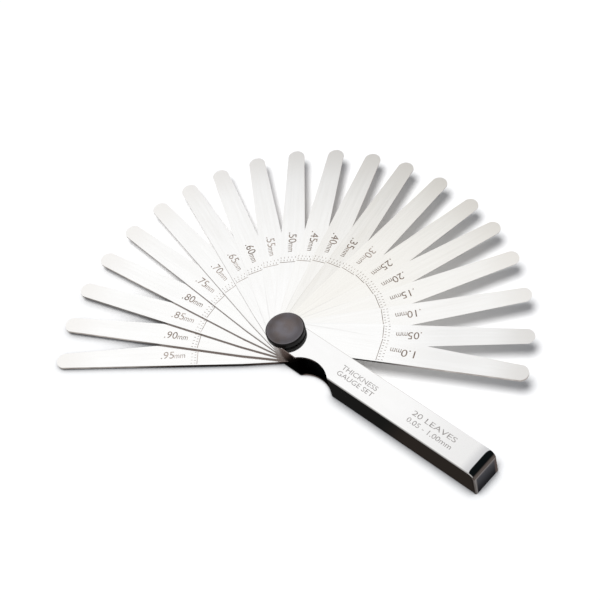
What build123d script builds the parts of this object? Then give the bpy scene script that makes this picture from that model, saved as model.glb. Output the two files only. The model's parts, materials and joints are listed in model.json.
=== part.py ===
"""Feeler gauge: twenty tapered steel leaves that fan out of a folded sheet-steel case.

Row frame, millimetres: the origin is on the pivot axis at the underside of the case, +X runs
along the case towards its closed end, +Y is the open side that the leaves swing out of, and
+Z is up, towards the locking knob. The leaves are modelled fanned out.
"""

from build123d import *
import os
from math import cos, radians, sin

# Leaves
LEAF_COUNT = 20
THICKNESS_STEP = 0.05  # the pack runs from 0.05 mm to 1.00 mm
LEAF_REACH = 100.0  # pivot axis to tip
LEAF_WIDTH = 12.7  # across the parallel part, round the pivot
LEAF_TIP_WIDTH = 7.0  # where the sides meet the tip's arc
TAPER_START = 20.0  # distance from the pivot where the sides start to close in
TIP_ARC_DEPTH = 2.7  # how far the tip's arc stands out past the sides
TIP_CORNER = 1.0  # rounding where the arc meets the sides
LEAF_PLAY = 0.05  # free gap above and below every leaf
# Where each leaf stands in the fan, in degrees from the case, top of the pack first
FAN_ANGLES = (
    25, 35.5, 47.5, 59, 69.5, 79, 90, 100.5, 110, 120,
    130.5, 141, 151, 160, 169, 178.5, 188.5, 198.5, 209, 219.5,
)  # fmt: skip

# Case
SHEET = 0.95
CASE_WIDTH = 13.2
CASE_REACH = 102.6  # pivot axis to the outside of the end tab
END_BEND = 3.0  # outer radius where the top plate folds down into the end tab
SPINE_FOLD = 0.7  # outer radius of the folds along the spine
SEAM = 0.12  # hairline gap where the end tab lies against the spine and the bottom plate
NOTCH_START = 11.1
NOTCH_END = 28.3
NOTCH_DEPTH = 3.4
NOTCH_CORNER = 0.8

# Pivot stud, washer and locking knob
PIVOT_RADIUS = 2.5
PIVOT_CLEARANCE = 0.05
RIVET_RADIUS = 3.4  # countersunk head, closed flush with the underside
RIVET_CLEARANCE = 0.02
STUD_CHAMFER = 0.4
WASHER_RADIUS = 6.5
WASHER_THICKNESS = 0.3
KNOB_RADIUS = 8.1
KNOB_TOP = 16.6  # height above the underside of the case
KNOB_EDGE = 0.45  # chamfer round both of the knob's rims
DISH_RADIUS = 7.2
DISH_DEPTH = 0.2
BORE_ROOF = 0.7  # metal between the dish and the knob's blind bore
STUD_TIP_GAP = 0.25

HALF_WIDTH = CASE_WIDTH / 2
THICKNESSES = [LEAF_COUNT * THICKNESS_STEP] + [
    step * THICKNESS_STEP for step in range(1, LEAF_COUNT)
]  # top of the pack first: the thickest leaf covers the thinnest
PACK_HEIGHT = sum(THICKNESSES) + (LEAF_COUNT + 1) * LEAF_PLAY
CASE_HEIGHT = PACK_HEIGHT + 2 * SHEET
CEILING = CASE_HEIGHT - SHEET  # underside of the top plate
BORE_RADIUS = PIVOT_RADIUS + PIVOT_CLEARANCE
BEND_START = CASE_REACH - END_BEND
TAB_INSIDE = CASE_REACH - SHEET
INNER_BEND = END_BEND - SHEET
NOTCH_MIDDLE = (NOTCH_START + NOTCH_END) / 2
NOTCH_RADIUS = ((NOTCH_END - NOTCH_START) ** 2 / 4 + NOTCH_DEPTH**2) / (2 * NOTCH_DEPTH)
BEYOND = 5.0  # how far cutting bodies run past the material


def save(part, name):
    """Labels one finished piece and writes its STEP file."""
    part.part.label = name
    export_step(part.part, f"parts/{name}.step")


def leaf_name(thickness):
    """A leaf's node name, such as leaf_0_05mm."""
    return f"leaf_{thickness:.2f}mm".replace(".", "_")


def make_leaf(thickness, angle, bottom):
    """A tapered leaf with a round pivot end, at its height in the pack and its place in the fan."""
    direction = (cos(radians(angle)), sin(radians(angle)), 0)
    plane = Plane(origin=(0, 0, bottom), x_dir=direction, z_dir=(0, 0, 1))
    half, tip_half = LEAF_WIDTH / 2, LEAF_TIP_WIDTH / 2
    shoulder = LEAF_REACH - TIP_ARC_DEPTH
    with BuildPart() as leaf:
        with BuildSketch(plane):
            with BuildLine():
                Polyline((0, half), (TAPER_START, half), (shoulder, tip_half))
                ThreePointArc((shoulder, tip_half), (LEAF_REACH, 0), (shoulder, -tip_half))
                Polyline((shoulder, -tip_half), (TAPER_START, -half), (0, -half))
                ThreePointArc((0, -half), (-half, 0), (0, half))
            make_face()
            Circle(BORE_RADIUS, mode=Mode.SUBTRACT)
        extrude(amount=thickness)
        tip_corners = (
            leaf.edges()
            .filter_by(Axis.Z)
            .filter_by(lambda edge: plane.to_local_coords(edge.center()).X > TAPER_START + 1)
        )
        fillet(tip_corners, radius=TIP_CORNER)
    return leaf


def make_case():
    """The folded sheet: two plates, the spine along -Y, and an end tab folded from the top plate."""
    with BuildPart() as case:
        # Block of the folded part, rounded where the top plate turns down
        with BuildSketch(Plane.XZ):
            with BuildLine():
                Polyline(
                    (CASE_REACH, CASE_HEIGHT - END_BEND),
                    (CASE_REACH, 0),
                    (NOTCH_MIDDLE, 0),
                    (NOTCH_MIDDLE, CASE_HEIGHT),
                    (BEND_START, CASE_HEIGHT),
                )
                RadiusArc((BEND_START, CASE_HEIGHT), (CASE_REACH, CASE_HEIGHT - END_BEND), END_BEND)
            make_face()
        extrude(amount=HALF_WIDTH, both=True)

        # Room for the leaves, open towards +Y and the pivot
        with BuildSketch(Plane.XZ.offset(HALF_WIDTH - SHEET)):
            with BuildLine():
                Polyline(
                    (TAB_INSIDE, CEILING - INNER_BEND),
                    (TAB_INSIDE, SHEET),
                    (0, SHEET),
                    (0, CEILING),
                    (BEND_START, CEILING),
                )
                RadiusArc((BEND_START, CEILING), (TAB_INSIDE, CEILING - INNER_BEND), INNER_BEND)
            make_face()
        extrude(amount=-(CASE_WIDTH + BEYOND), mode=Mode.SUBTRACT)

        # Seam that frees the end tab from the spine and the bottom plate
        with BuildSketch(Plane.XZ.offset(HALF_WIDTH - SHEET - SEAM)):
            with BuildLine():
                Polyline(
                    (TAB_INSIDE, CEILING - INNER_BEND),
                    (TAB_INSIDE, -BEYOND),
                    (TAB_INSIDE - SEAM, -BEYOND),
                    (TAB_INSIDE - SEAM, CEILING - INNER_BEND),
                )
                RadiusArc(
                    (TAB_INSIDE - SEAM, CEILING - INNER_BEND),
                    (BEND_START, CEILING - SEAM),
                    -(INNER_BEND - SEAM),
                )
                Line((BEND_START, CEILING - SEAM), (BEND_START, CEILING))
                RadiusArc((BEND_START, CEILING), (TAB_INSIDE, CEILING - INNER_BEND), INNER_BEND)
            make_face()
        extrude(amount=BEYOND, mode=Mode.SUBTRACT)
        with BuildSketch():
            with Locations((TAB_INSIDE - SEAM / 2, 0)):
                Rectangle(SEAM, CASE_WIDTH + BEYOND)
        extrude(amount=SHEET, mode=Mode.SUBTRACT)

        # Folds along the spine, carried on round the edge of the end tab
        spine_edges = (
            case.edges()
            .filter_by(lambda edge: edge.center().Y < -HALF_WIDTH + SHEET / 4)
            .filter_by(lambda edge: edge.center().X > NOTCH_MIDDLE + 1)
        )
        folds = spine_edges.filter_by(Axis.X).filter_by(
            lambda edge: not SHEET / 2 < edge.center().Z < CASE_HEIGHT - SHEET / 2
            and edge.length > CASE_WIDTH
        )
        tab_edges = spine_edges.filter_by(
            lambda edge: edge.center().X > TAB_INSIDE + SHEET / 2
            or (edge.geom_type == GeomType.CIRCLE and edge.radius > INNER_BEND + SHEET / 2)
        ).filter_by(Axis.X, reverse=True)
        fillet(folds + tab_edges, radius=SPINE_FOLD)

        # Both plates run on to a half round about the pivot
        for height in (0, CEILING):
            with BuildSketch(Plane.XY.offset(height)):
                with Locations((NOTCH_MIDDLE / 2, 0)):
                    Rectangle(NOTCH_MIDDLE, CASE_WIDTH)
                Circle(HALF_WIDTH)
            extrude(amount=SHEET)

        # Finger notch through the plates and the spine
        with BuildSketch() as notch:
            with Locations((NOTCH_MIDDLE, -HALF_WIDTH - BEYOND / 2)):
                Rectangle(NOTCH_END - NOTCH_START + 2 * BEYOND, BEYOND)
            with Locations((NOTCH_MIDDLE, -HALF_WIDTH + NOTCH_DEPTH - NOTCH_RADIUS)):
                Circle(NOTCH_RADIUS)
            corners = notch.vertices().filter_by(
                lambda vertex: abs(vertex.Y + HALF_WIDTH) < 0.01
                and NOTCH_START - 1 < vertex.X < NOTCH_END + 1
            )
            fillet(corners, NOTCH_CORNER)
        extrude(amount=CASE_HEIGHT, mode=Mode.SUBTRACT)

        # Pivot holes: plain in the top plate, countersunk for the rivet head in the bottom one
        with BuildSketch(Plane.XY.offset(CEILING)):
            Circle(BORE_RADIUS)
        extrude(amount=SHEET, mode=Mode.SUBTRACT)
        with BuildSketch():
            Circle(RIVET_RADIUS)
        with BuildSketch(Plane.XY.offset(SHEET)):
            Circle(PIVOT_RADIUS + RIVET_CLEARANCE)
        loft(mode=Mode.SUBTRACT)
    return case


def make_pivot_stud():
    """The fixed stud: flush countersunk head, bearing for the leaves and thread for the knob in one."""
    tip = KNOB_TOP - DISH_DEPTH - BORE_ROOF - STUD_TIP_GAP
    with BuildPart() as stud:
        with BuildSketch(Plane.XZ):
            with BuildLine():
                Polyline(
                    (0, 0),
                    (RIVET_RADIUS - RIVET_CLEARANCE, 0),
                    (PIVOT_RADIUS, SHEET),
                    (PIVOT_RADIUS, tip - STUD_CHAMFER),
                    (PIVOT_RADIUS - STUD_CHAMFER, tip),
                    (0, tip),
                    close=True,
                )
            make_face()
        revolve(axis=Axis.Z)
    return stud


def make_thrust_washer():
    """Plain washer carried under the knob."""
    with BuildPart() as washer:
        with BuildSketch(Plane.XY.offset(CASE_HEIGHT)):
            Circle(WASHER_RADIUS)
            Circle(BORE_RADIUS, mode=Mode.SUBTRACT)
        extrude(amount=WASHER_THICKNESS)
    return washer


def make_lock_knob():
    """Locking knob with a shallow dish on top and a blind bore for the stud."""
    base = CASE_HEIGHT + WASHER_THICKNESS
    dish_bottom = KNOB_TOP - DISH_DEPTH
    roof = dish_bottom - BORE_ROOF
    with BuildPart() as knob:
        with BuildSketch(Plane.XZ):
            with BuildLine():
                TangentArc((0, dish_bottom), (DISH_RADIUS, KNOB_TOP), tangent=(1, 0))
                Polyline(
                    (DISH_RADIUS, KNOB_TOP),
                    (KNOB_RADIUS - KNOB_EDGE, KNOB_TOP),
                    (KNOB_RADIUS, KNOB_TOP - KNOB_EDGE),
                    (KNOB_RADIUS, base + KNOB_EDGE),
                    (KNOB_RADIUS - KNOB_EDGE, base),
                    (BORE_RADIUS, base),
                    (BORE_RADIUS, roof),
                    (0, roof),
                    (0, dish_bottom),
                )
            make_face()
        revolve(axis=Axis.Z)
    return knob


os.makedirs("parts", exist_ok=True)

save(make_case(), "case")
save(make_pivot_stud(), "pivot_stud")
save(make_thrust_washer(), "thrust_washer")
save(make_lock_knob(), "lock_knob")

leaf_top = CEILING - LEAF_PLAY
for thickness, angle in zip(THICKNESSES, FAN_ANGLES):
    leaf_bottom = leaf_top - thickness
    save(make_leaf(thickness, angle, leaf_bottom), leaf_name(thickness))
    leaf_top = leaf_bottom - LEAF_PLAY
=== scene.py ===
"""Feeler gauge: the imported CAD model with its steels, its etched markings, a pale studio floor, soft
light and a camera. Everything is in metres, in the model's own frame: the leaves' pivot is the Z
axis, the case lies along +X, and the leaves swing out on the +Y side.
"""

import json
from math import cos, pi, radians, sin

import bmesh
import bpy
from mathutils import Matrix, Vector


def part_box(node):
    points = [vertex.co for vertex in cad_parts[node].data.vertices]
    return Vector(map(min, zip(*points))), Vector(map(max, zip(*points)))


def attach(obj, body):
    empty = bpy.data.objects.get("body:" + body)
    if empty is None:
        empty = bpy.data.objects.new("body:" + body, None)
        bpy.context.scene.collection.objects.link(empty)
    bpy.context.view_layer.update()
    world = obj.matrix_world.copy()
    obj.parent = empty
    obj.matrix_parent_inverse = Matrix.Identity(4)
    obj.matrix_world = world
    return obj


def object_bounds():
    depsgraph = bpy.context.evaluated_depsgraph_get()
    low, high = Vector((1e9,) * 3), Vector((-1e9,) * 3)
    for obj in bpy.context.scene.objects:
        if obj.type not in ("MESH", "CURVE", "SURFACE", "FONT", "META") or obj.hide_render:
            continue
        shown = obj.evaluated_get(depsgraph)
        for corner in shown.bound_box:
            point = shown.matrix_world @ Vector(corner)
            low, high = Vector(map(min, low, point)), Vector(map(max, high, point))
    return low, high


MM = 0.001

# A name that ends in STEP is the pair of places between which one shade gives way to the next

# Camera
CAMERA_AZIMUTH = radians(55.81)
CAMERA_ELEVATION = radians(53.17)
CAMERA_ROLL = radians(-16.57)
CAMERA_DISTANCE = 715.98 * MM
CAMERA_AIM = Vector((-14.70, 21.00, 0)) * MM
CAMERA_LENS = 102.45

# Key light and ambient light
KEY_DIRECTION = Vector((0.055, -0.185, 1.0))
KEY_STRENGTH = 3.0
KEY_ANGLE = radians(26)
AMBIENT = (0.222, 0.231, 0.250)

# Studio seen in reflections. Slope is y over z of the direction looked in, turned a little about Z.
SOFTBOX = 1.06
SOFTBOX_TURN = -0.3
DIMMED_SOFTBOX = 0.45  # what is left of the softbox past its edge
DIMMED_STEP = (0.70, 0.78)  # slope
REGAINED = 0.38  # what it gains again, beyond the dimmed stretch
REGAINED_STEP = (1.0, 1.4)  # slope
LOWEST_RISE = 0.02  # keeps the slope finite along the horizon
RING = (0.85, 0.85, 0.85)  # pale band, low all round
RING_STEP = (0.30, 0.20)  # height
BROWN = (0.170, 0.142, 0.128)
BROWN_SIDE = (0.93, 0.36)  # where the band turns brown, as a level direction
BROWN_STEP = (0.80, 0.92)  # closeness to that direction, 1 when straight along it

# Floor: white paint, with a painted contact shadow round whatever touches it or nearly does
FLOOR_SIZE = 6.0
PAINT = (0.9, 0.9, 0.9)
PAINTED_CONTACT_SHADOW = (0.20, 0.205, 0.215)
CONTACT_REACH = 5.5 * MM
CONTACT_STEP = (0.35, 1.0)  # openness, 1 where nothing is near

# Painted reflections: colours that the floor glows with for reflection rays only. Pivot steps are measured
# from the pivot.
PAINTED_REFLECTION_AT_PIVOT = (0.33, 0.27, 0.25)
PAINTED_REFLECTION_ROUND_PIVOT = (0.040, 0.027, 0.020)
PAINTED_REFLECTION_BEYOND = (0.80, 0.77, 0.75)
AT_PIVOT_STEP = (12 * MM, 22 * MM)
ROUND_PIVOT_STEP = (40 * MM, 80 * MM)
PAINTED_REFLECTION_UNDER_LEAVES = (0.80, 0.79, 0.78)
UNDER_LEAVES_Y_STEP = (6 * MM, 12 * MM)
UNDER_LEAVES_X_STEP = (-20 * MM, 0)

# Painted dark reflection along the spine: a dark patch that the floor shows to reflection rays only, with
# edge steps measured outwards from the spine. It starts as a narrow strip beside the pivot.
DARK_PATCH_NEAR = (0.020, 0.020, 0.019)
DARK_PATCH_FAR = (0.045, 0.037, 0.032)
DARK_PATCH_SHADE_STEP = (52 * MM, 66 * MM)  # x
DARK_PATCH_EDGE_STEP = (-1.2 * MM, 0)
DARK_PATCH_START_STEP = (8 * MM, 18 * MM)  # x
DARK_PATCH_END_OVERHANG = 4 * MM
STRIP_EDGE_STEP = (2.8 * MM, 1.6 * MM)
STRIP_START_STEP = (-2 * MM, 1 * MM)  # x

# Painted reflection beyond the case's end: a dark patch that the floor shows to reflection rays only. Steps
# are measured out from the end; borders are measured in from the corners of the case, and slant away from
# it.
END_PATCH_NEAR = (0.020, 0.020, 0.022)
END_PATCH_FAR = (0.095, 0.095, 0.105)
END_PATCH_DEPTH = 4.5 * MM
OPEN_SIDE_BORDER = (0.150, 0.115, 0.105)
OPEN_SIDE_STEP = (1.7 * MM, 0.9 * MM)
SPINE_SIDE_BORDER = (0.27, 0.25, 0.24)
SPINE_SIDE_STEP = (1.3 * MM, 0.9 * MM)
END_LINE = (0.36, 0.33, 0.32)
END_LINE_STEP = (3.9 * MM, 4.5 * MM)
PAST_END_LINE_STEP = (6.0 * MM, 8.5 * MM)
END_PATCH_SOFTNESS = 0.5 * MM

# A leaf that is all the way closed lies at this angle from the case
CLOSED_ANGLE = 1.2

# Leaf steel, with steps measured from the pivot along the leaf
SATIN = ((0.943, 0.939, 0.930), (0.965, 0.963, 0.957))
CLOUDED = (0.87, 0.86, 0.84)
HAZE = 0.20
HAZY_AND_SHADED = {"0_35mm": 0.80, "0_40mm": 0.45, "0_65mm": 0.35}  # leaves with a cloudier face, painted darker as shade
# Painted shade along each leaf's long borders
BORDER_SHADE = (0.42, 0.41, 0.40)
BORDER_SHADE_STEP = (5.5 * MM, 6.3 * MM)  # from the leaf's middle line
# Painted shade towards every leaf's tip
TIP = (0.90, 0.885, 0.865)
TIP_STEP = (80 * MM, 99 * MM)
NEAR_CASE_SHADE = 0.09  # painted shade: how much the leaves nearest the case darken towards their tips
NEAR_CASE_SHADE_ANGLES = (0.90, 0.62)  # where in the fan that sets in and is complete
NEAR_CASE_SHADE_STEP = (38 * MM, 68 * MM)
# Painted warm reflection, strongest on the leaf at WARMEST_ANGLE
WARMEST_ANGLE = 1.45
WARM_SPREAD = 2.1
WARM_LOSS = (0.035, 0.05, 0.085)
# Sheared edges: a plainer finish, also painted darker as shade
SHEARED_AND_SHADED = ((0.40, 0.37, 0.35), (0.62, 0.59, 0.56))
# Painted shade on the edges towards the pivot
SHADED_EDGE = (0.17, 0.135, 0.12)
LESS_SHADED_EDGE = 0.33  # how much paler that is on a leaf in line with the case
SHADED_EDGE_STEP = (72 * MM, 48 * MM)

# Polished case, with steps measured back from its end
SHEET = 0.95 * MM
POLISHED = ((0.900, 0.896, 0.890), (0.925, 0.922, 0.918))
POLISHING_LINES = (0.87, 0.86, 0.85)
RIM_SHADE_WIDTH = 0.30 * MM  # width of the painted shade line along the open edge
RIM_SHADE = (0.66, 0.64, 0.625)
# Painted shade: darker towards the end, and more just before the band
SHADE_TOWARDS_END = (0.80, 0.795, 0.79)
SHADE_TOWARDS_END_STEP = (52 * MM, 6 * MM)
SHADE_BEFORE_BAND = (0.60, 0.60, 0.61)
SHADE_BEFORE_BAND_STEP = (8 * MM, 3 * MM)
BLACK = (0.004, 0.0055, 0.006)  # painted dark reflection over the end bend, and painted shade inside the case
END_BAND = 3.15 * MM
END_BAND_CORNER = 0.9 * MM  # how far the band's corners are rounded
END_BAND_SOFTNESS = 0.25 * MM
INSIDE_SOFTNESS = 0.5 * MM
# Painted shade on the spine
SPINE_SHADE = (0.42, 0.41, 0.40)

# Turned faces: painted shade darkens them outwards, up to a painted highlight on the rim. Steps are
# measured from the pivot.
OUTWARD_STEP = (3.0 * MM, 6.2 * MM)
TURNED_RIM_STEP = (7.0 * MM, 7.4 * MM)

# Etched markings: each is a skin this thick, sunk a little into the steel under it
ETCH_HEIGHT = 0.010 * MM
ETCH_SUNK = 0.006 * MM
LINE_REACH = 39.3 * MM  # cross line, measured from the pivot
LINE_WEIGHT = 0.25 * MM
LINE_LENGTH = 10.3 * MM
TICK_ROWS = ((39.85 * MM, 0.80 * MM, 8), (41.30 * MM, 0.75 * MM, 7))  # start, length, count
TICK_WEIGHT = 0.21 * MM
TICK_SPREAD = 9.3 * MM
LABEL_START = 55.0 * MM  # the label reads from here towards the pivot
THICKEST_LABEL_START = 54.0 * MM
LABEL_FOOT = 1.80 * MM  # its baseline, on the anticlockwise side of the leaf's middle
FIGURE_SIZE = (5.6 * MM, 3.4 * MM)
UNIT_SIZE = (4.5 * MM, 1.75 * MM)
UNIT_START = 5.85 * MM
FAINT = ("0_30mm", "0_55mm", "0_65mm", "0_70mm", "0_75mm", "0_85mm", "0_95mm")  # the etch took less
CASE_LINES = (  # words, left end and baseline, width and height
    ("THICKNESS", (29.7 * MM, 0.35 * MM), (18.2 * MM, 2.15 * MM)),
    ("GAUGE SET", (29.7 * MM, -2.75 * MM), (18.5 * MM, 2.15 * MM)),
    ("20 LEAVES", (66.0 * MM, 0.75 * MM), (21.5 * MM, 2.30 * MM)),
    ("0.05 - 1.00mm", (66.0 * MM, -2.75 * MM), (21.8 * MM, 2.20 * MM)),
)

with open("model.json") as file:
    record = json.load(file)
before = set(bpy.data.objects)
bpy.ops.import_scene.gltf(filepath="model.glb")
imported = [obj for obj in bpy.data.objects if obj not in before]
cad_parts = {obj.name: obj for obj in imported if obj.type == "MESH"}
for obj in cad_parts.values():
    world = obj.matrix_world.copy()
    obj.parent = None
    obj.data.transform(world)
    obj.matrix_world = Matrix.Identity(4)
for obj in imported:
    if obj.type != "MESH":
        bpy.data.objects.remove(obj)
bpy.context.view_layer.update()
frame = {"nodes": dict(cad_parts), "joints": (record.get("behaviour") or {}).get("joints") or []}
nodes = frame["nodes"]


# ---------------------------------------------------------------- node trees


class Graph:
    """Builds one node tree. Every method adds a node and returns its output socket."""

    def __init__(self, tree):
        self.tree = tree
        tree.nodes.clear()

    def node(self, kind, inputs=None, **settings):
        made = self.tree.nodes.new(kind)
        for name, value in settings.items():
            setattr(made, name, value)
        for name, value in (inputs or {}).items():
            self.feed(made.inputs[name], value)
        return made

    def feed(self, socket, value):
        if isinstance(value, bpy.types.NodeSocket):
            self.tree.links.new(value, socket)
        elif socket.type == "RGBA" and len(value) == 3:
            socket.default_value = (*value, 1)
        else:
            socket.default_value = value

    def math(self, operation, *values):
        return self.node("ShaderNodeMath", dict(enumerate(values)), operation=operation).outputs[0]

    def ramp(self, value, start, end, low=0.0, high=1.0):
        """A smooth step: low at start, high at end."""
        inputs = {"Value": value, "From Min": start, "From Max": end, "To Min": low, "To Max": high}
        if start > end:
            inputs.update({"From Min": end, "From Max": start, "To Min": high, "To Max": low})
        made = self.node("ShaderNodeMapRange", inputs, interpolation_type="SMOOTHSTEP")
        return made.outputs["Result"]

    def mix(self, factor, first, second, blend="MIX"):
        made = self.node("ShaderNodeMix", data_type="RGBA", blend_type=blend)
        for index, value in ((0, factor), (6, first), (7, second)):
            self.feed(made.inputs[index], value)
        return made.outputs[2]

    def object_place(self):
        return self.node("ShaderNodeTexCoord").outputs["Object"]

    def stretched(self, place, angle, scale):
        """Coordinates turned by angle about Z, in units of scale along, across and up."""
        inputs = {"Vector": place, "Rotation": (0, 0, angle), "Scale": scale}
        return self.node("ShaderNodeMapping", inputs, vector_type="TEXTURE").outputs[0]

    def noise(self, place, detail=2.0, roughness=0.5):
        inputs = {"Vector": place, "Scale": 1.0, "Detail": detail, "Roughness": roughness}
        return self.node("ShaderNodeTexNoise", inputs).outputs["Fac"]

    def bump(self, height, distance, strength=1.0):
        inputs = {"Height": height, "Distance": distance, "Strength": strength}
        return self.node("ShaderNodeBump", inputs).outputs[0]

    def xyz(self, vector):
        return self.node("ShaderNodeSeparateXYZ", {"Vector": vector}).outputs

    def reach(self, vector):
        """How far a place is from the Z axis."""
        x, y, _ = self.xyz(vector)
        squares = self.math("ADD", self.math("MULTIPLY", x, x), self.math("MULTIPLY", y, y))
        return self.math("SQRT", squares)

    def lean(self):
        """Which way the surface faces, along X, Y and Z."""
        return self.xyz(self.node("ShaderNodeTexCoord").outputs["Normal"])


def surface(name, build):
    """A material whose shader's inputs come from build(graph)."""
    material = bpy.data.materials.new(name)
    material.use_nodes = True
    graph = Graph(material.node_tree)
    shader = graph.node("ShaderNodeBsdfPrincipled", build(graph))
    graph.node("ShaderNodeOutputMaterial", {"Surface": shader.outputs[0]})
    return material


def dress(node_name, material):
    """Gives a CAD node one material."""
    slots = nodes[node_name].data.materials
    slots.clear()
    slots.append(material)


# ---------------------------------------------------------------- materials


def fraction(value, start, end):
    """How far value is on the way from start to end, from 0 to 1."""
    return min(1.0, max(0.0, (value - start) / (end - start)))


def shifted(colour, amount):
    return tuple(c + amount for c in colour)


def scaled(colour, factor):
    return tuple(c * factor for c in colour)


def leaf_steel(name, angle, seed, haze):
    """Satin ground strip, grained along the leaf, with plainer sheared edges, also painted darker as shade.
    Painted shade falls along its borders and towards its tip, and a painted warm reflection depends on its
    place in the fan. angle is the leaf's place in the fan; haze is how cloudy its face is and how much
    painted shade darkens it."""

    def build(graph):
        turned = graph.stretched(graph.object_place(), angle, (1, 1, 1))
        along, across, _ = graph.xyz(turned)
        shift = graph.node("ShaderNodeVectorMath", {0: turned, 1: (seed * 0.37, seed * 0.11, 0)}).outputs[0]
        grain = graph.noise(graph.stretched(shift, 0, (0.014, 0.00016, 0.01)), 3)
        streaks = graph.noise(graph.stretched(shift, 0, (0.045, 0.0011, 0.01)), 2)
        clouds = graph.noise(graph.stretched(shift, 0, (0.016, 0.006, 0.01)), 3)

        # Flat faces: streaks and clouds, then painted shade along the borders and towards the tip, and a
        # painted warm reflection that depends on its place in the fan
        dark, light = SATIN
        # Hazier leaves are painted darker: painted shade
        extra = haze - HAZE
        face = graph.mix(graph.ramp(streaks, 0.30, 0.70), shifted(dark, -0.11 * extra),
                         shifted(light, -0.07 * extra))
        face = graph.mix(graph.ramp(clouds, 0.35, 0.75, 0.0, haze), face, CLOUDED)
        # Painted shade along the borders, a little different on each leaf
        border_shade = 0.10 + 0.08 * cos(1.7 * seed)
        face = graph.mix(graph.ramp(graph.math("ABSOLUTE", across), *BORDER_SHADE_STEP, 0, border_shade), face, BORDER_SHADE)
        # Painted shade towards the tip, more on the leaves nearest the case
        near_case_shade = NEAR_CASE_SHADE * fraction(angle, *NEAR_CASE_SHADE_ANGLES)
        face = graph.mix(graph.ramp(along, *TIP_STEP), face, shifted(TIP, -near_case_shade))
        face = graph.mix(graph.ramp(along, *NEAR_CASE_SHADE_STEP, 0, near_case_shade), face, (0, 0, 0))
        # Painted warm reflection
        warmth = cos(min(pi / 2, WARM_SPREAD * abs(angle - WARMEST_ANGLE)))
        face = graph.mix(1.0, face, tuple(1 - loss * warmth for loss in WARM_LOSS), "MULTIPLY")

        # Sheared edges: each leaf's own brightness, painted darker as shade towards the pivot
        bright = 0.80 + 0.30 * cos(2.4 * seed)
        dark, light = SHEARED_AND_SHADED
        edge = graph.mix(graph.ramp(grain, 0.3, 0.7), scaled(dark, bright), scaled(light, bright))
        # Painted shade on the edge towards the pivot, less on leaves in line with the case
        edge_shade = shifted(SHADED_EDGE, LESS_SHADED_EDGE * max(0.0, cos(angle / 2)))
        edge = graph.mix(graph.ramp(along, *SHADED_EDGE_STEP), edge, edge_shade)

        flat = graph.ramp(graph.math("ABSOLUTE", graph.lean()[2]), 0.4, 0.7)
        return {
            "Base Color": graph.mix(flat, edge, face),
            "Metallic": 1.0,
            "Roughness": graph.math("ADD", graph.ramp(grain, 0.25, 0.75, 0.13, 0.17),
                                    graph.ramp(flat, 0, 1, 0.17, 0)),
            "Normal": graph.bump(grain, 0.0000010, 0.4),
        }

    return surface(name, build)


def case_steel():
    """Polished sheet: nearly a mirror, with faint polishing lines along it and fine haze. Painted shade
    gives a line along its open edge and darkens it towards its end; it is painted black over the end bend
    as a painted dark reflection, painted black inside the case as painted shade, and painted darker on the
    spine as painted shade."""
    low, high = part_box("case")
    end, half, ceiling = high.x, high.y, high.z - SHEET

    def back(steps):
        """Places measured back from the case's end."""
        return (end - steps[0], end - steps[1])

    def build(graph):
        place = graph.object_place()
        x, y, z = graph.xyz(place)
        lean = graph.lean()
        lines = graph.noise(graph.stretched(place, 0, (0.030, 0.0003, 0.0003)), 3)
        haze = graph.noise(graph.stretched(place, 0, (0.020, 0.007, 0.007)), 3)
        shade = graph.mix(graph.ramp(haze, 0.3, 0.7), *POLISHED)
        shade = graph.mix(graph.ramp(lines, 0.45, 0.8, 0.0, 0.2), shade, POLISHING_LINES)
        # Painted shade: a line along the open edge, and darkening towards the end and before the band
        shade = graph.mix(graph.ramp(y, half - RIM_SHADE_WIDTH, half - RIM_SHADE_WIDTH / 2), shade, RIM_SHADE)
        shade = graph.mix(graph.ramp(x, *back(SHADE_TOWARDS_END_STEP)), shade, SHADE_TOWARDS_END)
        shade = graph.mix(graph.ramp(x, *back(SHADE_BEFORE_BAND_STEP)), shade, SHADE_BEFORE_BAND)

        # The painted black band, a painted dark reflection, covers what faces up past END_BAND, and draws
        # back at its two corners
        edgeward = graph.math("DIVIDE", graph.math("ABSOLUTE", y), half)
        corner = graph.math("MULTIPLY", graph.math("POWER", edgeward, 8.0), END_BAND_CORNER)
        band_edge = back((END_BAND, END_BAND - END_BAND_SOFTNESS))
        band = graph.ramp(graph.math("SUBTRACT", x, corner), *band_edge)
        band = graph.math("MULTIPLY", band, graph.ramp(lean[0], 0.84, 0.76))
        band = graph.math("MULTIPLY", band, graph.ramp(lean[2], 0.3, 0.5))
        # Painted shade inside the case and on the spine
        inside = graph.math("MULTIPLY", graph.ramp(lean[2], 0.4, 0.7),
                            graph.ramp(z, ceiling, ceiling - INSIDE_SOFTNESS))
        spine = graph.ramp(lean[1], -0.22, -0.42)
        dark = graph.math("MAXIMUM", inside, graph.math("MAXIMUM", band, spine))
        return {
            "Base Color": graph.mix(dark, shade, graph.mix(spine, BLACK, SPINE_SHADE)),
            "Metallic": 1.0,
            "Roughness": graph.math("ADD", graph.ramp(haze, 0.3, 0.8, 0.06, 0.11),
                                    graph.ramp(lines, 0.5, 0.8, 0, 0.03)),
            "Normal": graph.bump(lines, 0.0000004, 0.4),
        }

    return surface("polished_case_steel", build)


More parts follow.
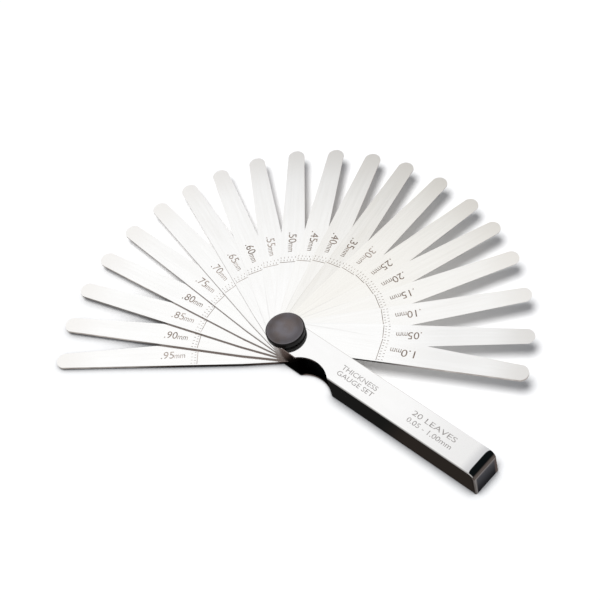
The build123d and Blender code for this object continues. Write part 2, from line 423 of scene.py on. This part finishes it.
def turned_metal(name, dark, light, side, roughness, pitch, depth):
    """A lathe-turned surface: concentric marks about the pivot, over a slow change of tint, with painted
    shade darkening it outwards and a painted highlight on its rim. side is how much of the tint is left on
    upright faces, which are painted darker as shade."""

    def build(graph):
        place = graph.object_place()
        reach = graph.reach(place)
        rings = graph.node("ShaderNodeTexNoise", {
            "W": graph.math("DIVIDE", reach, pitch), "Scale": 1.0, "Detail": 2.0,
        }, noise_dimensions="1D").outputs["Fac"]
        patch = graph.noise(graph.stretched(place, 0, (0.007, 0.007, 0.007)), 2)
        speckle = graph.noise(graph.stretched(place, 0, (0.0004, 0.0004, 0.0004)), 2)
        tint = graph.mix(graph.ramp(patch, 0.35, 0.65), dark, light)
        tint = graph.mix(graph.ramp(rings, 0.45, 0.75, 0.0, 0.35), tint, scaled(light, 1.35))
        # Painted shade darkens the face outwards, and a painted highlight lights its rim
        tint = graph.mix(graph.ramp(reach, *OUTWARD_STEP, 0, 0.32), tint, (0, 0, 0))
        tint = graph.mix(graph.ramp(reach, *TURNED_RIM_STEP, 0, 0.30), tint, light)
        # Upright faces are painted darker: painted shade
        upright = graph.ramp(graph.lean()[2], 0.92, 0.70)
        return {
            "Base Color": graph.mix(upright, tint, scaled(dark, side)),
            "Metallic": graph.ramp(upright, 0, 1, 1.0, side),
            "Specular IOR Level": 0.1,
            "Roughness": graph.math("ADD", graph.ramp(rings, 0.3, 0.7, roughness, roughness + 0.06),
                                    graph.ramp(speckle, 0.3, 0.7, 0, 0.05)),
            "Normal": graph.bump(graph.math("ADD", rings, graph.math("MULTIPLY", speckle, 0.3)), depth),
        }

    return surface(name, build)


def etching(name, dark, light):
    """Acid-etched mark: matt, brownish, and a little uneven where the etch took less."""

    def build(graph):
        place = graph.object_place()
        bite = graph.noise(graph.stretched(place, 0, (0.0011, 0.0011, 0.0011)), 3)
        fine = graph.noise(graph.stretched(place, 0, (0.00012, 0.00012, 0.00012)), 2)
        return {
            "Base Color": graph.mix(graph.ramp(bite, 0.35, 0.7), dark, light),
            "Metallic": 0.25,
            "Roughness": graph.ramp(fine, 0.3, 0.7, 0.55, 0.75),
            "Normal": graph.bump(fine, 0.000004, 0.6),
        }

    return surface(name, build)


# ---------------------------------------------------------------- etched markings


def add_letters(shape, words, width, height, origin):
    """Adds words to a mesh in the XY plane, fitted to width and height, from origin along +X."""
    curve = bpy.data.curves.new("letters", "FONT")
    curve.body = words
    curve.resolution_u = 4
    curve.extrude = 0.5
    holder = bpy.data.objects.new("letters", curve)
    bpy.context.scene.collection.objects.link(holder)
    bpy.context.view_layer.update()
    mesh = bpy.data.meshes.new_from_object(holder.evaluated_get(bpy.context.evaluated_depsgraph_get()))
    bpy.data.objects.remove(holder)
    bpy.data.curves.remove(curve)
    low = Vector([min(v.co[k] for v in mesh.vertices) for k in range(3)])
    high = Vector([max(v.co[k] for v in mesh.vertices) for k in range(3)])
    scale = (width / (high.x - low.x), height / (high.y - low.y), ETCH_HEIGHT + ETCH_SUNK)
    mesh.transform(Matrix.Translation((*origin, -ETCH_SUNK)) @ Matrix.Diagonal((*scale, 1))
                   @ Matrix.Translation(-low))
    shape.from_mesh(mesh)
    bpy.data.meshes.remove(mesh)


def add_bar(shape, middle, size):
    """Adds one etched stroke: a thin box, size along X and Y, centred on middle."""
    centre = (*middle, (ETCH_HEIGHT - ETCH_SUNK) / 2)
    place = Matrix.Translation(centre) @ Matrix.Diagonal((*size, ETCH_HEIGHT + ETCH_SUNK, 1))
    bmesh.ops.create_cube(shape, size=1, matrix=place)


def finish_piece(shape, name, place, material, body):
    """Turns a mesh in the XY plane into a piece at place, riding on body."""
    bmesh.ops.remove_doubles(shape, verts=shape.verts, dist=1e-7)
    shape.transform(place)
    mesh = bpy.data.meshes.new(name)
    shape.to_mesh(mesh)
    shape.free()
    mesh.materials.append(material)
    piece = bpy.data.objects.new(name, mesh)
    bpy.context.scene.collection.objects.link(piece)
    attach(piece, body)
    return piece


def leaf_marking(size_name, angle, top, material):
    """A leaf's cross line, its two rows of ticks and its thickness, which reads towards the pivot."""
    thickness = float(size_name.removesuffix("mm").replace("_", "."))
    figures = f"{thickness:.2f}"[1:] if thickness < 1 else f"{thickness:.1f}"
    shape = bmesh.new()
    add_bar(shape, (-LINE_REACH, 0), (LINE_WEIGHT, LINE_LENGTH))
    for start, length, count in TICK_ROWS:
        for index in range(count):
            across = (index / (count - 1) - 0.5) * TICK_SPREAD
            add_bar(shape, (-start - length / 2, across), (length, TICK_WEIGHT))
    foot = (-LABEL_START if thickness < 1 else -THICKEST_LABEL_START, -LABEL_FOOT)
    add_letters(shape, figures, *FIGURE_SIZE, foot)
    add_letters(shape, "mm", *UNIT_SIZE, (foot[0] + UNIT_START, foot[1]))
    place = Matrix.Translation((0, 0, top)) @ Matrix.Rotation(angle + pi, 4, "Z")
    finish_piece(shape, "marking_" + size_name, place, material, "blade_" + size_name)


def case_marking(material):
    """The lettering on the case's top plate."""
    shape = bmesh.new()
    for words, origin, size in CASE_LINES:
        add_letters(shape, words, *size, origin)
    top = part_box("case")[1].z
    finish_piece(shape, "case_marking", Matrix.Translation((0, 0, top)), material, "case_frame")


# ---------------------------------------------------------------- surroundings


def painted_floor_reflection(graph):
    """Painted reflection: what polished metal sees of the floor, a glow for reflection rays only. It is
    pale, dark round the pivot, with a painted dark patch along the spine and another beyond the case's end."""
    low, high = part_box("case")
    place = graph.object_place()
    x, y, _ = graph.xyz(place)
    reach = graph.reach(place)
    seen = graph.mix(graph.ramp(reach, *AT_PIVOT_STEP), PAINTED_REFLECTION_AT_PIVOT, PAINTED_REFLECTION_ROUND_PIVOT)
    seen = graph.mix(graph.ramp(reach, *ROUND_PIVOT_STEP), seen, PAINTED_REFLECTION_BEYOND)
    leaves = graph.math("MULTIPLY", graph.ramp(y, *UNDER_LEAVES_Y_STEP),
                        graph.ramp(x, *UNDER_LEAVES_X_STEP))
    seen = graph.mix(leaves, seen, PAINTED_REFLECTION_UNDER_LEAVES)

    # Painted dark reflection beside the spine
    outwards = graph.math("SUBTRACT", low.y, y)
    dark_patch = graph.math("MULTIPLY", graph.ramp(outwards, *DARK_PATCH_EDGE_STEP),
                      graph.ramp(x, high.x + DARK_PATCH_END_OVERHANG, high.x))
    strip = graph.math("MULTIPLY", graph.ramp(outwards, *STRIP_EDGE_STEP), graph.ramp(x, *STRIP_START_STEP))
    dark_patch = graph.math("MULTIPLY", dark_patch, graph.math("MAXIMUM", strip, graph.ramp(x, *DARK_PATCH_START_STEP)))
    seen = graph.mix(dark_patch, seen, graph.mix(graph.ramp(x, *DARK_PATCH_SHADE_STEP), DARK_PATCH_NEAR, DARK_PATCH_FAR))

    # Painted reflection beyond the case's end: dark, with paler borders and lines
    beyond = graph.math("SUBTRACT", x, high.x)
    slant = graph.math("SUBTRACT", y, beyond)
    from_open_side = graph.math("SUBTRACT", high.y, slant)
    from_spine = graph.math("SUBTRACT", slant, low.y)
    end_patch = graph.mix(graph.ramp(beyond, 0, END_PATCH_DEPTH), END_PATCH_NEAR, END_PATCH_FAR)
    end_patch = graph.mix(graph.ramp(from_open_side, *OPEN_SIDE_STEP), end_patch, OPEN_SIDE_BORDER)
    end_patch = graph.mix(graph.ramp(from_spine, *SPINE_SIDE_STEP), end_patch, SPINE_SIDE_BORDER)
    end_patch = graph.mix(graph.ramp(beyond, *END_LINE_STEP), end_patch, END_LINE)
    end_patch = graph.mix(graph.ramp(beyond, *PAST_END_LINE_STEP), end_patch, BROWN)
    return graph.mix(graph.ramp(beyond, -END_PATCH_SOFTNESS, 0), seen, end_patch)


def make_floor():
    """A white floor that takes soft shadows and a painted contact shadow, and that glows for reflection
    rays only, as a painted reflection.
    """
    bpy.ops.mesh.primitive_plane_add(size=FLOOR_SIZE, location=(0, 0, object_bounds()[0].z))
    floor = bpy.context.object
    floor.name = "floor"
    material = bpy.data.materials.new("floor")
    material.use_nodes = True
    graph = Graph(material.node_tree)
    glow = graph.node("ShaderNodeEmission", {"Color": painted_floor_reflection(graph)}).outputs[0]
    # Painted contact shadow: the paint darkens where ambient occlusion finds something near
    openness = graph.node("ShaderNodeAmbientOcclusion", {"Distance": CONTACT_REACH}, samples=8)
    shade = graph.mix(graph.ramp(openness.outputs["AO"], *CONTACT_STEP), PAINTED_CONTACT_SHADOW, PAINT)
    paint = graph.node("ShaderNodeBsdfDiffuse", {"Color": shade}).outputs[0]
    # Reflection rays see the painted reflection; all other rays see the paint
    glossy = graph.node("ShaderNodeLightPath").outputs["Is Glossy Ray"]
    both = graph.node("ShaderNodeMixShader", {0: glossy, 1: paint, 2: glow})
    graph.node("ShaderNodeOutputMaterial", {"Surface": both.outputs[0]})
    material.cycles.emission_sampling = "NONE"
    floor.data.materials.append(material)


def make_surroundings():
    """White behind the object, an even ambient light, and for reflections a studio: a large softbox
    overhead that dims towards +Y, and a pale band low all round, brown past the case's end."""
    world = bpy.data.worlds.new("studio")
    bpy.context.scene.world = world
    world.use_nodes = True
    graph = Graph(world.node_tree)
    direction = graph.node("ShaderNodeTexCoord").outputs["Generated"]
    x, y, z = graph.xyz(direction)
    rise = graph.math("MAXIMUM", z, LOWEST_RISE)
    slope = graph.math("ADD", graph.math("DIVIDE", y, rise),
                       graph.math("MULTIPLY", graph.math("DIVIDE", x, rise), SOFTBOX_TURN))
    light = graph.math("SUBTRACT", graph.ramp(slope, *DIMMED_STEP, SOFTBOX, SOFTBOX * DIMMED_SOFTBOX),
                       graph.ramp(slope, *REGAINED_STEP, 0, -REGAINED))
    sky = graph.node("ShaderNodeCombineColor", {0: light, 1: light, 2: light}).outputs[0]
    brownward = graph.math("ADD", graph.math("MULTIPLY", x, BROWN_SIDE[0]),
                           graph.math("MULTIPLY", y, BROWN_SIDE[1]))
    brownward = graph.math("DIVIDE", brownward, graph.reach(direction))
    ring = graph.mix(graph.ramp(brownward, *BROWN_STEP), RING, BROWN)
    sky = graph.mix(graph.ramp(z, *RING_STEP), sky, ring)
    path = graph.node("ShaderNodeLightPath").outputs
    colour = graph.mix(path["Is Glossy Ray"], AMBIENT, sky)
    colour = graph.mix(path["Is Camera Ray"], colour, (1, 1, 1))
    backdrop = graph.node("ShaderNodeBackground", {"Color": colour})
    graph.node("ShaderNodeOutputWorld", {"Surface": backdrop.outputs[0]})


def make_key_light():
    """A broad soft key, nearly overhead. Reflections of it come from the surroundings instead."""
    key = bpy.data.lights.new("key", "SUN")
    key.energy = KEY_STRENGTH
    key.angle = KEY_ANGLE
    lamp = bpy.data.objects.new("key", key)
    lamp.rotation_euler = KEY_DIRECTION.to_track_quat("Z", "Y").to_euler()
    lamp.visible_glossy = False
    bpy.context.scene.collection.objects.link(lamp)


def make_camera():
    data = bpy.data.cameras.new("camera")
    data.lens = CAMERA_LENS
    data.sensor_width = 36
    camera = bpy.data.objects.new("camera", data)
    bpy.context.scene.collection.objects.link(camera)
    level = cos(CAMERA_ELEVATION)
    back = Vector((sin(CAMERA_AZIMUTH) * level, -cos(CAMERA_AZIMUTH) * level, sin(CAMERA_ELEVATION)))
    roll = Matrix.Rotation(CAMERA_ROLL, 3, "Z").to_quaternion()
    camera.rotation_mode = "QUATERNION"
    camera.rotation_quaternion = (-back).to_track_quat("-Z", "Y") @ roll
    camera.location = CAMERA_AIM + back * CAMERA_DISTANCE
    bpy.context.scene.camera = camera


# ---------------------------------------------------------------- the object

dress("case", case_steel())
dress("pivot_stud", turned_metal("turned_stud_steel", (0.50, 0.49, 0.48), (0.62, 0.61, 0.60), 1.0, 0.26,
                                 0.00018, 0.000002))
dress("thrust_washer", turned_metal("washer_steel", (0.40, 0.39, 0.39), (0.52, 0.51, 0.50), 1.0, 0.32,
                                    0.00022, 0.000002))
dress("lock_knob", turned_metal("black_oxide", (0.164, 0.137, 0.130), (0.192, 0.180, 0.196), 0.015, 0.34,
                                0.00035, 0.000003))

etched = etching("etched_mark", (0.12, 0.085, 0.065), (0.34, 0.27, 0.22))
faint = etching("faint_etched_mark", (0.24, 0.19, 0.16), (0.52, 0.45, 0.40))
for index, joint in enumerate(j for j in frame["joints"] if j["name"].startswith("swing_")):
    size_name = joint["name"].removeprefix("swing_")
    leaf = "leaf_" + size_name
    angle = radians(CLOSED_ANGLE - joint["range_deg"][0])
    dress(leaf, leaf_steel("steel_" + size_name, angle, index, HAZY_AND_SHADED.get(size_name, HAZE)))
    leaf_marking(size_name, angle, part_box(leaf)[1].z, faint if size_name in FAINT else etched)
case_marking(etching("etched_case_mark", (0.24, 0.22, 0.21), (0.46, 0.44, 0.43)))

make_floor()
make_surroundings()
make_key_light()
make_camera()
bpy.context.scene.view_settings.view_transform = "Standard"
